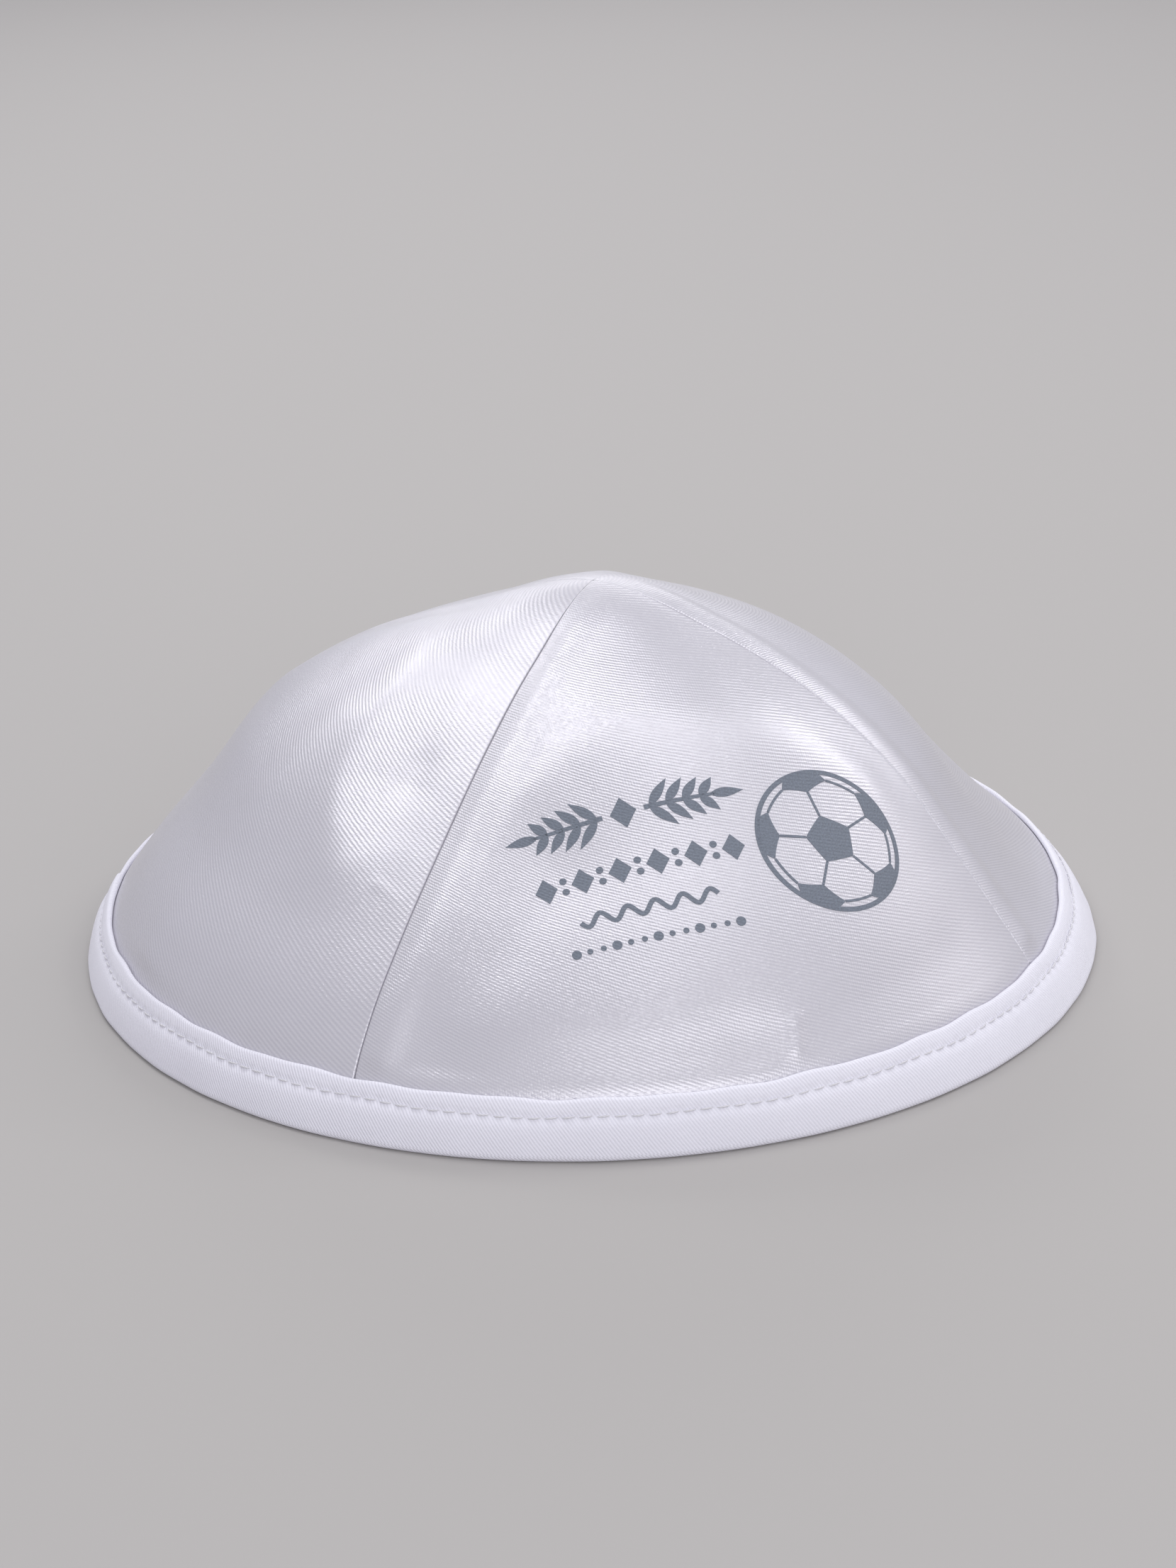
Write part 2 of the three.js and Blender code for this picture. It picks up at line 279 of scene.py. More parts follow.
def smooth_curves(x, xs, ys):
    """Values at x of smooth curves through (xs, ys), one for each column of ys, level at the last point.

    Cubic pieces, whose slope at a point is the mean of the two chords beside it, each weighted by the
    other's length.
    """
    step = np.diff(xs)[:, None]
    chord = np.diff(ys, axis=0) / step
    slope = np.zeros_like(ys)
    slope[0] = chord[0]
    slope[1:-1] = (chord[:-1] * step[1:] + chord[1:] * step[:-1]) / (step[1:] + step[:-1])
    i = np.clip(np.searchsorted(xs, x, side="right") - 1, 0, len(xs) - 2)
    t = ((x - xs[i]) / step[i, 0])[..., None]
    return (
        (2 * t**3 - 3 * t**2 + 1) * ys[i]
        + (t**3 - 2 * t**2 + t) * step[i] * slope[i]
        + (3 * t**2 - 2 * t**3) * ys[i + 1]
        + (t**3 - t**2) * step[i] * slope[i + 1]
    )


def joined(*parts):
    """The parts side by side, along the last axis of one array."""
    return np.stack(np.broadcast_arrays(*parts), axis=-1)


def unit(vectors):
    """The vectors at length 1."""
    return vectors / np.linalg.norm(vectors, axis=-1, keepdims=True)


def azimuth_at(panel, across):
    """Azimuth of a place across a panel, even from seam to seam."""
    return SEAM_AZIMUTHS[panel] + across * (SEAM_AZIMUTHS[panel + 1] - SEAM_AZIMUTHS[panel])


def crown_share(panel, across, elevation):
    """Distance of the satin from the centre of the rim as a share of an even dome's.

    An S from the left seam's share to the right seam's, and on it a parabola that meets the share in the
    middle of the panel.
    """
    panel, across, elevation = np.broadcast_arrays(panel, across, elevation)
    shares = smooth_curves(elevation, ELEVATIONS, SHARES)
    count = len(PANELS)

    def on(column):
        return np.take_along_axis(shares, column[..., None], axis=-1)[..., 0]

    left, right, middle = on(panel), on((panel + 1) % count), on(panel + count)
    swell = middle - (left + right) / 2
    return left + (right - left) * smooth_step(across, 0, 1) + swell * 4 * across * (1 - across)


def crown_point(sizes, panel, across, elevation):
    """Points of the crown before its folds.

    (r k cos e sin a, -r k cos e cos a, h k sin e) with the share k at the azimuth a and elevation e, moved
    sideways towards the tip by the square of the height.
    """
    share = crown_share(panel, across, elevation)
    azimuth = azimuth_at(panel, across)
    flat = sizes.satin_radius * share * np.cos(elevation)
    height = sizes.crown_height * share * np.sin(elevation)
    lean = (height / sizes.crown_height) ** 2
    x = flat * np.sin(azimuth) + sizes.tip_right * lean
    y = -flat * np.cos(azimuth) + sizes.tip_back * lean
    return joined(x, y, height)


def panel_width(sizes, panel, across, elevation):
    """Width of a panel at an elevation: its radius there times the angle between its seams."""
    span = SEAM_AZIMUTHS[panel + 1] - SEAM_AZIMUTHS[panel]
    return sizes.satin_radius * crown_share(panel, across, elevation) * np.cos(elevation) * span


def mean_radius(sizes):
    """Mean radius of a panel's curve from the rim to the tip."""
    return (sizes.satin_radius + sizes.crown_height) / 2


def edge_distances(sizes, panel, across, elevation):
    """Distance of a place from the panel's left and right seams."""
    width = panel_width(sizes, panel, across, elevation)
    return across * width, (1 - across) * width


def crown_normal(sizes, panel, across, elevation):
    """Outward direction of the crown, which turns into the seam's own plane beside a seam.

    The cross product of a short step to the right and a short step up. Beside a seam its part along the
    rim is faded out, so that two panels meet in a mitre.
    """
    reach, turn = 0.002, math.radians(0.2)
    panel, across, elevation = np.broadcast_arrays(panel, across, elevation)
    sideways = crown_point(sizes, panel, np.minimum(across + reach, 1), elevation) - crown_point(
        sizes, panel, np.maximum(across - reach, 0), elevation
    )
    top = np.minimum(elevation + turn, QUARTER)
    upwards = crown_point(sizes, panel, across, top) - crown_point(sizes, panel, across, elevation - turn)
    normal = unit(np.cross(sideways, upwards))
    left, right = edge_distances(sizes, panel, across, elevation)
    azimuth = np.where(left < right, SEAM_AZIMUTHS[panel], SEAM_AZIMUTHS[panel + 1])
    beside = joined(np.cos(azimuth), np.sin(azimuth), 0)
    near = 1 - smooth_step(np.minimum(left, right), 0, 2 * sizes.edge_roll)
    part = np.sum(normal * beside, axis=-1, keepdims=True)
    return unit(normal - near[..., None] * part * beside)


def layer_direction(sizes, binding, panel, across, elevation):
    """Direction in which the layers lie on each other.

    It is level at the hem, and square to the crown from halfway up the binding.
    """
    normal = crown_normal(sizes, panel, across, elevation)
    height = crown_point(sizes, panel, across, elevation)[..., 2]
    square = smooth_step(height, binding.foot + binding.clearance, binding.height / 2)
    level = joined(normal[..., 0], normal[..., 1], normal[..., 2] * square)
    return unit(level)


def elevation_at(sizes, panel, across, height):
    """Elevation at which the crown reaches a height, found by halving."""
    lowest, halvings = math.radians(-30), 30
    panel, across, height = np.broadcast_arrays(panel, across, height)
    low = np.full(height.shape, lowest)
    high = np.full(height.shape, QUARTER)
    for _ in range(halvings):
        middle = (low + high) / 2
        below = crown_point(sizes, panel, across, middle)[..., 2] < height
        low = np.where(below, middle, low)
        high = np.where(below, high, middle)
    return (low + high) / 2


def fold_level(sizes, panel, across, elevation):
    """How far the folds lift the satin.

    Each has a round crest of radius c along its line and flanks of width w that run out evenly:
    exp(-(sqrt(d^2 + c^2) - c) / w) at a distance d from the nearest stretch of the line.
    """
    radius = mean_radius(sizes)
    width = QUARTER * sizes.satin_radius * np.cos(elevation)
    here = joined((across - 0.5) * width, elevation * radius)
    level = np.zeros(elevation.shape)
    for fold_panel, fold_across, fold_up, flank, crest, depth in FOLDS:
        if not np.any(panel == fold_panel):
            continue
        corners = [joined((a - 0.5) * width, u * QUARTER * radius) for a, u in zip(fold_across, fold_up)]
        gap = np.full(elevation.shape, np.inf)
        for start, end in zip(corners, corners[1:]):
            line = end - start
            share = np.clip(np.sum((here - start) * line, axis=-1) / np.sum(line * line, axis=-1), 0, 1)
            gap = np.minimum(gap, np.linalg.norm(here - start - share[..., None] * line, axis=-1))
        round_crest = crest * sizes.fold_width
        bell = np.exp(-(np.hypot(gap, round_crest) - round_crest) / (flank * sizes.fold_width))
        level += np.where(panel == fold_panel, depth * sizes.fold_depth * bell, 0)
    return level


def pucker_level(sizes, panel, along, left, right):
    """Small puckers square to the seams: two waves of uneven length, strongest a little off each seam."""
    slow_wave, quick_wave, reach, share = 31 * MM, 13 * MM, 4 * MM, 0.3
    slow_shift, quick_shift = 1.7 * panel, 0.6 + 2.3 * panel
    slow = np.sin(2 * math.pi * along / slow_wave + slow_shift)
    quick = np.sin(2 * math.pi * along / quick_wave + quick_shift)
    near_left = left / reach * np.exp(1 - left / reach)
    near_right = right / reach * np.exp(1 - right / reach)
    return sizes.pucker * slow * (1 - share + share * quick) * (near_left + near_right)


def slack_level(sizes, panel, along, sideways):
    """The satin's faint unevenness: three crossing waves of different lengths."""
    wide_wave, bend_wave, slant_wave = 9.1 * MM, 12 * MM, 7.7 * MM
    bend, lean, share = 0.8, 0.6, 0.3
    turn = 1.3 * panel
    wide = np.sin(sideways / wide_wave + bend * np.sin(along / bend_wave + turn) + turn)
    slant = np.sin((lean * sideways + along) / slant_wave + 2.1 * turn)
    return sizes.pucker * ((1 - share) * wide + share * slant)


def quarter_round(distance, radius):
    """How far a round edge lies below its face at a distance from its end: r - sqrt(r^2 - (r - d)^2)."""
    inward = np.clip(radius - distance, 0, radius)
    return radius - np.sqrt(radius**2 - inward**2)


def satin_levels(sizes, binding, panel, across, elevation):
    """How far the satin's face and its inside stand out of the crown.

    The folds, puckers and allowance fade in above the binding. The face rolls down a quarter circle at
    each seam, and the inside follows it a cloth's thickness below, without the allowance.
    """
    left, right = edge_distances(sizes, panel, across, elevation)
    height = crown_point(sizes, panel, across, elevation)[..., 2]
    along = elevation * mean_radius(sizes)
    nearest = np.minimum(left, right)
    narrow = smooth_step(left + right, *NARROW_FADE)
    uneven = pucker_level(sizes, panel, along, left, right) + slack_level(sizes, panel, along, left)
    soft = smooth_step(nearest, 0, sizes.fold_width) * fold_level(sizes, panel, across, elevation)
    soft = soft + narrow * smooth_step(nearest, 0, SEAM_FADE) * uneven
    start, highest, end = ALLOWANCE_FADE
    mound = left / sizes.allowance_width
    rise = smooth_step(mound, start, highest) * (1 - smooth_step(mound, highest, end))
    rise = sizes.allowance_rise * narrow * rise
    taper = np.clip((left + right) / FULL_ROLL_WIDTH, LEAST_ROLL, 1)
    roll = quarter_round(left, sizes.edge_roll * taper) + quarter_round(right, sizes.edge_tuck * taper)
    edge = binding.height + binding.clearance
    free = smooth_step(height, edge, edge + BINDING_FADE)
    return free * (soft + rise) - roll, free * (soft - roll) - sizes.cloth


def satin_point(sizes, binding, panel, across, elevation):
    """Points of the satin's face, with its folds."""
    face, _ = satin_levels(sizes, binding, panel, across, elevation)
    direction = layer_direction(sizes, binding, panel, across, elevation)
    return crown_point(sizes, panel, across, elevation) + direction * face[..., None]


def grid_quads(rows, columns, wrap_rows=False, wrap_columns=False):
    """Corner numbers of the faces of a grid of points. Its rows or columns may close on themselves."""
    i = np.arange(rows if wrap_rows else rows - 1)[:, None]
    j = np.arange(columns if wrap_columns else columns - 1)[None, :]
    above, beside = (i + 1) % rows, (j + 1) % columns
    quads = joined(i * columns + j, i * columns + beside, above * columns + beside, above * columns + j)
    return quads.reshape(-1, 4)


def slab(top, bottom):
    """Points and faces of a closed slab between two grids of points, top side out."""
    rows, columns = top.shape[:2]
    face = grid_quads(rows, columns)
    lower = rows * columns
    along_row, up_column = np.arange(columns), np.arange(rows) * columns
    rim = np.concatenate(
        (along_row, up_column[1:] + columns - 1, up_column[-1] + along_row[-2::-1], up_column[-2:0:-1])
    )
    following = np.roll(rim, -1)
    wall = joined(rim, rim + lower, following + lower, following)
    points = np.concatenate((top.reshape(-1, 3), bottom.reshape(-1, 3)))
    return points, np.concatenate((face, face[:, ::-1] + lower, wall))


def put(name, data):
    """A new object of this data, in the scene."""
    item = bpy.data.objects.new(name, data)
    bpy.context.collection.objects.link(item)
    return item


def new_piece(name, points, faces, material, slot, pattern, periods=None):
    """A smooth mesh object of quads, at the origin, with pattern as its UV map.

    A pattern that closes on itself after the periods is carried on past its end, on the faces that close it.
    """
    mesh = bpy.data.meshes.new(name)
    mesh.vertices.add(len(points))
    mesh.vertices.foreach_set("co", np.asarray(points, dtype=np.float32).ravel())
    mesh.loops.add(faces.size)
    mesh.loops.foreach_set("vertex_index", faces.astype(np.int32).ravel())
    mesh.polygons.add(len(faces))
    mesh.polygons.foreach_set("loop_start", np.arange(len(faces), dtype=np.int32) * 4)
    mesh.update(calc_edges=True)
    mesh.polygons.foreach_set("use_smooth", np.ones(len(faces), dtype=bool))
    corners = pattern[faces]
    if periods is not None:
        behind = corners.max(axis=1, keepdims=True) - corners > np.array(periods) / 2
        corners = corners + behind * periods
    mesh.uv_layers.new(name="Cloth").uv.foreach_set("vector", corners.astype(np.float32).ravel())
    mesh.validate()
    mesh.set_sharp_from_angle(angle=SHARP_ANGLE)
    mesh.materials.append(material)
    piece = put(name, mesh)
    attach(piece, "root")
    return piece


def new_material(name, finish, roughness, **constants):
    """A material of one of the finishes, whose Principled shader has the given constant values.

    Returns the material and its colour.
    """
    colour = (*getattr(bpy.context.scene.kippah_finishes, finish), 1)
    material = bpy.data.materials.new(name)
    material.use_nodes = True
    material.diffuse_color = colour
    shader = material.node_tree.nodes["Principled BSDF"]
    shader.inputs["Base Color"].default_value = colour
    shader.inputs["Roughness"].default_value = roughness
    for label, value in constants.items():
        shader.inputs[label.replace("_", " ").title()].default_value = value
    return material, colour


def add_node(material, kind, inputs=(), **settings):
    """A node with its settings, whose inputs are given as values or as another node's output."""
    node = material.node_tree.nodes.new(kind)
    for label, value in settings.items():
        setattr(node, label, value)
    for label, value in dict(inputs).items():
        if isinstance(value, bpy.types.NodeSocket):
            material.node_tree.links.new(value, node.inputs[label])
        else:
            node.inputs[label].default_value = value
    return node


def on_cloth(material):
    """The place on the flat cloth, in millimetres."""
    return add_node(material, "ShaderNodeUVMap", uv_map="Cloth").outputs["UV"]


def finish_with(material, **outputs):
    """Links nodes' outputs to the inputs of the material's Principled shader."""
    shader = material.node_tree.nodes["Principled BSDF"]
    for label, output in outputs.items():
        material.node_tree.links.new(output, shader.inputs[label.replace("_", " ").title()])
    return material


def mixed(material, factor, first, second, blend="MIX"):
    """A mix of two colours by a factor."""
    inputs = {"Factor": factor, "A": first, "B": second}
    mix = add_node(material, "ShaderNodeMix", inputs, data_type="RGBA", blend_type=blend)
    return mix.outputs["Result"]


def noise(material, place, scale, detail):
    """A soft noise over the cloth, of so many waves to the millimetre."""
    inputs = {"Vector": place, "Scale": scale, "Detail": detail}
    return add_node(material, "ShaderNodeTexNoise", inputs).outputs["Fac"]


def mapped(material, value, **limits):
    """A value, carried from one range to another."""
    inputs = {label.replace("_", " ").title(): limit for label, limit in limits.items()}
    return add_node(material, "ShaderNodeMapRange", {"Value": value, **inputs}).outputs["Result"]


def darker(colour, share):
    """The colour, made darker by a share."""
    return (*(part * (1 - share) for part in colour[:3]), 1)


def weave(material, place, pitch, lean, wander=0.5):
    """The height of parallel ribs, which lean down to the right by an angle and wander a little."""
    turned = add_node(material, "ShaderNodeMapping", {"Vector": place, "Rotation": (0, 0, lean)})
    ribs = add_node(
        material,
        "ShaderNodeTexWave",
        {"Vector": turned.outputs["Vector"], "Scale": BAND_PERIOD / pitch, "Distortion": wander, "Detail": 2},
        wave_type="BANDS",
        bands_direction="Y",
    )
    return ribs.outputs["Fac"]


def bump_chain(material, *heights):
    """Bump nodes one after the other, each of a height's output, its strength and its depth."""
    normal = None
    for height, strength, depth in heights:
        inputs = {"Height": height, "Strength": strength, "Distance": depth}
        if normal is not None:
            inputs["Normal"] = normal
        normal = add_node(material, "ShaderNodeBump", inputs).outputs["Normal"]
    return normal


def satin_material():
    """Ribbed satin: fine ribs across the panel, threads up it, a soft sheen and a faint unevenness."""
    material, colour = new_material(
        "Ribbed satin", "satin", 0.4, metallic=0.4, sheen_weight=0.1, sheen_roughness=0.4, anisotropic=0.3
    )
    place = on_cloth(material)
    ribs = weave(material, place, TWILL_PITCH, TWILL_LEAN)
    yarns = weave(material, place, YARN_PITCH, QUARTER)
    stretched = add_node(material, "ShaderNodeMapping", {"Vector": place, "Scale": (0.5, 4, 1)})
    threads = noise(material, stretched.outputs["Vector"], scale=1, detail=4)
    nubs = noise(material, place, scale=2.4, detail=3)
    spots = noise(material, place, scale=0.09, detail=3)
    tone = mixed(material, spots, darker(colour, 0.05), colour)
    tone = mixed(material, threads, tone, THREAD_TINT, "MULTIPLY")
    tone = mixed(material, ribs, tone, RIB_TINT, "MULTIPLY")
    bump = bump_chain(
        material,
        (ribs, 0.4, 0.06 * MM),
        (yarns, 0.2, 0.04 * MM),
        (threads, 0.4, 0.08 * MM),
        (nubs, 0.4, 0.12 * MM),
    )
    roughness = mapped(material, nubs, to_min=0.25, to_max=0.37)
    tangent = add_node(material, "ShaderNodeTangent", direction_type="UV_MAP", uv_map="Cloth")
    tangent = tangent.outputs["Tangent"]
    return finish_with(material, base_color=tone, roughness=roughness, normal=bump, tangent=tangent)


def tape_material():
    """Matt twill tape: fine slanting ribs, a little fuzz and a faint cloudiness."""
    material, colour = new_material("Twill tape", "tape", 0.82, sheen_weight=0.25, sheen_roughness=0.5)
    place = on_cloth(material)
    ribs = weave(material, place, TAPE_PITCH, TAPE_LEAN, wander=0.8)
    fuzz = noise(material, place, scale=3, detail=4)
    clouds = noise(material, place, scale=0.12, detail=3)
    tone = mixed(material, clouds, darker(colour, 0.06), colour)
    tone = mixed(material, ribs, tone, TAPE_TINT, "MULTIPLY")
    bump = bump_chain(material, (ribs, 0.7, 0.08 * MM), (fuzz, 0.5, 0.12 * MM))
    return finish_with(material, base_color=tone, normal=bump)


def painted_shade_thread_material():
    """The thread of the stitches: fine twisted plies along the stitch, in a colour darker than the tape's
    that paints shade on the stitches.
    """
    # the thread's colour from the finishes holds painted shade on the stitches
    material, colour = new_material("Sewing thread with painted shade", "thread", 0.55, sheen_weight=0.2)
    twist = weave(material, on_cloth(material), THREAD_PITCH, THREAD_LEAN, wander=0.3)
    tone = mixed(material, twist, darker(colour, 0.15), colour)
    return finish_with(material, base_color=tone, normal=bump_chain(material, (twist, 0.4, 0.05 * MM)))


def print_material():
    """Transfer print: a thin slate film that shows the ribs of the satin through it."""
    material, colour = new_material("Slate print", "ink", 0.5)
    place = on_cloth(material)
    ribs = weave(material, place, TWILL_PITCH, TWILL_LEAN)
    grain = noise(material, place, scale=3, detail=2)
    speck = mapped(material, grain, from_min=0.35, from_max=0.65)
    tone = mixed(material, speck, darker(colour, 0.25), colour)
    bump = bump_chain(material, (ribs, 0.3, 0.06 * MM), (grain, 0.3, 0.08 * MM))
    return finish_with(material, base_color=tone, normal=bump)


def panel_grid(sizes, binding, panel, columns, rows):
    """Places of a panel's grid points: across and elevation.

    The columns stand closer beside the seams, by t - c sin(2 pi t) / 2 pi, and keep half the seam's gap.
    The rows run from inside the binding to the tip.
    """
    crowding, most_cut, tip = 0.75, 0.3, math.radians(89.9)
    t = np.linspace(0, 1, columns)
    t = t - crowding * np.sin(2 * math.pi * t) / (2 * math.pi)
    hem = elevation_at(sizes, panel, t, binding.foot + binding.clearance)
    elevation = hem + np.linspace(0, 1, rows)[:, None] * (tip - hem)
    cut = sizes.seam_gap / 2 / panel_width(sizes, panel, t[None, :], elevation)
    cut = np.minimum(cut, most_cut)
    return cut + t * (1 - 2 * cut), elevation


def make_panel(panel, material):
    """One satin panel: the face and the inside on one grid, a cloth's thickness apart."""
    sizes, binding = bpy.context.scene.kippah_crown, bpy.context.scene.kippah_binding
    across, elevation = panel_grid(sizes, binding, panel, columns=220, rows=180)
    face, inside = satin_levels(sizes, binding, panel, across, elevation)
    place = crown_point(sizes, panel, across, elevation)
    direction = layer_direction(sizes, binding, panel, across, elevation)
    points, faces = slab(place + direction * face[..., None], place + direction * inside[..., None])
    pattern = np.tile(cloth_pattern(sizes, panel, across, elevation), (2, 1))
    name = PANELS[panel].replace("panel", "satin")
    piece = new_piece(name, points, faces, material, "satin", pattern)
    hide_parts(PANELS[panel])


def cloth_pattern(sizes, panel, across, elevation):
    """Where each place lies on the flat cloth, from the panel's middle line and up from the rim."""
    width = panel_width(sizes, panel, across, elevation)
    flat = joined((across - 0.5) * width, elevation * mean_radius(sizes))
    return (flat / MM).reshape(-1, 2)


def ring_places(count):
    """Panel and place across it of stations round the rim, a quarter of them on each panel."""
    around = np.arange(count) / count * len(PANELS)
    panel = around.astype(int)
    return panel, around - panel


def rim_point(sizes, binding, panel, across, out, height):
    """Points at a height on the rim's wall, moved out of the satin by a distance."""
    elevation = elevation_at(sizes, panel, across, height)
    direction = layer_direction(sizes, binding, panel, across, elevation)
    panel, across = np.broadcast_arrays(panel, across)
    return crown_point(sizes, panel, across, elevation) + direction * np.asarray(out)[..., None], direction


def half_round(middle, radius, start, end, steps):
    """Points on an arc in a section: out and height."""
    angle = np.radians(np.linspace(start, end, steps))
    return joined(middle[0] + radius * np.cos(angle), middle[1] + radius * np.sin(angle))


def binding_section(sizes, binding):
    """Outline of the folded tape as out and height, anticlockwise from the foot of its outer face."""
    half = binding.tape / 2
    outer_gap = binding.clearance
    inner_gap = -sizes.cloth - binding.clearance
    outer_middle, inner_middle = outer_gap + half, inner_gap - half
    shoulder = binding.height - half
    foot_round = 1.1 * MM
    outer_steps, inner_steps, hidden_steps, top_steps, foot_steps = 24, 16, 4, 7, 5

    def leg(out, low, high, steps):
        return joined(out, np.linspace(low, high, steps))

    def top(middle):
        return half_round((middle, shoulder), half, 0, 180, top_steps)[1:-1]

    def foot(out, start, end):
        return half_round((out, foot_round), foot_round, start, end, foot_steps)

    return np.concatenate(
        (
            leg(outer_middle + half, foot_round, shoulder, outer_steps),
            top(outer_middle),
            leg(outer_gap, shoulder, binding.foot, hidden_steps),
            leg(inner_gap, binding.foot, shoulder, hidden_steps),
            top(inner_middle),
            leg(inner_middle - half, shoulder, foot_round, inner_steps),
            foot(inner_middle - half + foot_round, 180, 270)[1:],
            foot(outer_middle + half - foot_round, 270, 360)[:-1],
        )
    )


def waves_round(around, waves):
    """The sum of sine waves that close round the rim."""
    return sum(np.sin(count * around + shift) for count, shift in waves)


def stitch_line(binding, around):
    """Height of the stitches on the binding, which wavers a little round it."""
    return binding.height - binding.stitch_drop + STITCH_WAVER * waves_round(around, STITCH_WAVES)


def make_binding(material):
    """The binding: its section carried round the rim.

    The stitches draw in a groove that is deepest at their ends. The upper edge wavers a little, and steps
    where the tape's ends overlap.
    """
    sizes, binding = bpy.context.scene.kippah_crown, bpy.context.scene.kippah_binding
    per_stitch = 6
    groove_width, groove_depth, pit_length, pit_depth = 0.75 * MM, 0.22 * MM, 0.14, 0.9
    belly_depth, level_foot = 0.1 * MM, 0.02 * MM
    face_start, face_end = 0.9 * sizes.cloth, 1.6 * sizes.cloth
    pressed = 0.85  # of the clearance, by which the upper edge is drawn in
    wave_height, wave_depth = 1.3, 0.5  # of the edge's wavering, up and outwards
    count = binding.stitch_count * per_stitch
    panel, across = ring_places(count)
    section = binding_section(sizes, binding)
    out, height = section[:, 0][None, :], section[:, 1][None, :]
    around = azimuth_at(panel, across)[:, None]
    face = smooth_step(np.abs(out + sizes.cloth / 2), face_start, face_end)
    side = np.where(out > -sizes.cloth / 2, 1.0, -1.0)
    line = stitch_line(binding, around)
    near_line = np.exp(-(((height - line) / groove_width) ** 2))
    phase = (np.arange(count) % per_stitch / per_stitch)[:, None]
    pit = np.exp(-((np.minimum(phase, 1 - phase) / pit_length) ** 2))
    groove = groove_depth * near_line * (1 + pit_depth * pit * near_line)
    belly = belly_depth * np.sin(math.pi * np.clip(height / line, 0, 1))
    waver = EDGE_WAVER * waves_round(around, EDGE_WAVES)
    upper = smooth_step(height, binding.height / 2, binding.height)
    joint = smooth_step(around, JOINT_AZIMUTH, JOINT_AZIMUTH + JOINT_STEP)
    joint = joint * (1 - smooth_step(around, JOINT_AZIMUTH + 2 * JOINT_STEP, JOINT_AZIMUTH + JOINT_FADE))
    lap = JOINT_THICKNESS * joint * face
    press = pressed * binding.clearance * upper
    lifted = height + upper * (wave_height * waver + JOINT_RISE * joint)
    moved = out + side * (face * (belly - groove + wave_depth * waver) - press)
    moved += np.where(side > 0, lap, 0)
    points, _ = rim_point(sizes, binding, panel[:, None], across[:, None], moved, lifted)
    points[..., 2] = np.where(height <= level_foot, 0, points[..., 2])
    faces = grid_quads(count, len(section), wrap_rows=True, wrap_columns=True)
    length = around * sizes.satin_radius / MM
    sides = np.linalg.norm(np.roll(section, -1, axis=0) - section, axis=1) / MM
    turn = np.cumsum(sides) - sides
    pattern = joined(length, turn[None, :]).reshape(-1, 2)
    periods = (2 * math.pi * sizes.satin_radius / MM, np.sum(sides))
    points, faces = points.reshape(-1, 3), faces[:, ::-1]
    piece = new_piece("twill_binding", points, faces, material, "twill_tape", pattern, periods)
    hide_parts("edge_binding")


def make_stitches(material):
    """The stitches of the binding, outside and inside.

    Each is a capsule bent into the cloth at both ends: its radius is that of half an ellipse along its
    length, and its middle sinks by the fourth power of the distance from its centre.
    """
    sizes, binding = bpy.context.scene.kippah_crown, bpy.context.scene.kippah_binding
    rings, sides = 9, 8
    covered = 0.8  # of the pitch from one hole to the next
    drawn_in, flatness, slant = 0.16 * MM, 0.85, 0.07 * MM
    along = np.sin(np.linspace(-QUARTER, QUARTER, rings + 2))[1:-1]
    turn = np.arange(sides) / sides * 2 * math.pi
    number = np.arange(binding.stitch_count)[:, None]
    station = (number + 0.5 + along[None, :] * covered / 2) / binding.stitch_count * len(PANELS)
    panel = np.floor(station).astype(int) % len(PANELS)
    across = station - np.floor(station)
    height = stitch_line(binding, azimuth_at(panel, across)) + slant * along[None, :]
    radius = binding.thread / 2 * np.sqrt(1 - along**2)[None, :, None, None]
    sink = binding.thread * along**4
    outer = binding.clearance + binding.tape
    inner = sizes.cloth + binding.clearance + binding.tape
    parts = []
    for side, depth in ((1, outer), (-1, inner)):
        out = side * (depth - drawn_in - sink) * np.ones_like(station)
        middle, direction = rim_point(sizes, binding, panel, across, out, height)
        forward = unit(np.gradient(middle, axis=1))
        normal = side * direction
        up = unit(np.cross(forward, normal))
        outwards = flatness * np.sin(turn)[:, None] * normal[:, :, None, :]
        spoke = np.cos(turn)[:, None] * up[:, :, None, :] + outwards
        points = middle[:, :, None, :] + radius * spoke
        parts.append(capsules(points, middle, forward, binding.thread / 4))
    new_piece("rim_stitches", *together(parts, material, "thread"))


def capsules(points, middle, forward, reach):
    """Points, faces and pattern of many capsules.

    Each has rings of points, and both its ends are closed to a ring of a hair's width.
    """
    hair, length, girth = 0.05, 2, 1.2
    count, rings, sides, _ = points.shape
    centre, onward = middle[:, :, None, :], forward[:, :, None, :] * reach
    first = centre[:, :1] + (points[:, :1] - centre[:, :1]) * hair - onward[:, :1]
    last = centre[:, -1:] + (points[:, -1:] - centre[:, -1:]) * hair + onward[:, -1:]
    points = np.concatenate((first, points, last), axis=1)
    rings += 2
    ring_faces = grid_quads(rings, sides, wrap_columns=True)
    start = np.arange(sides // 2 - 1)
    cap = joined(start, start + 1, sides - 2 - start, sides - 1 - start)
    one = np.concatenate((ring_faces, cap[:, ::-1], cap + (rings - 1) * sides))
    faces = (one[None] + (np.arange(count) * rings * sides)[:, None, None]).reshape(-1, 4)
    pattern = joined(np.linspace(0, length, rings)[:, None], np.linspace(0, girth, sides)[None, :])
    pattern = np.tile(pattern.reshape(-1, 2), (count, 1))
    return points.reshape(-1, 3), faces, pattern


def together(parts, material, slot):
    """What new_piece needs of many parts: each one's faces are numbered on from the part before."""
    starts = np.cumsum([0] + [len(points) for points, _, _ in parts])
    moved = [(points, faces + start, pattern) for (points, faces, pattern), start in zip(parts, starts)]
    points, faces, pattern = (np.concatenate(group) for group in zip(*moved))
    return points, faces, material, slot, pattern


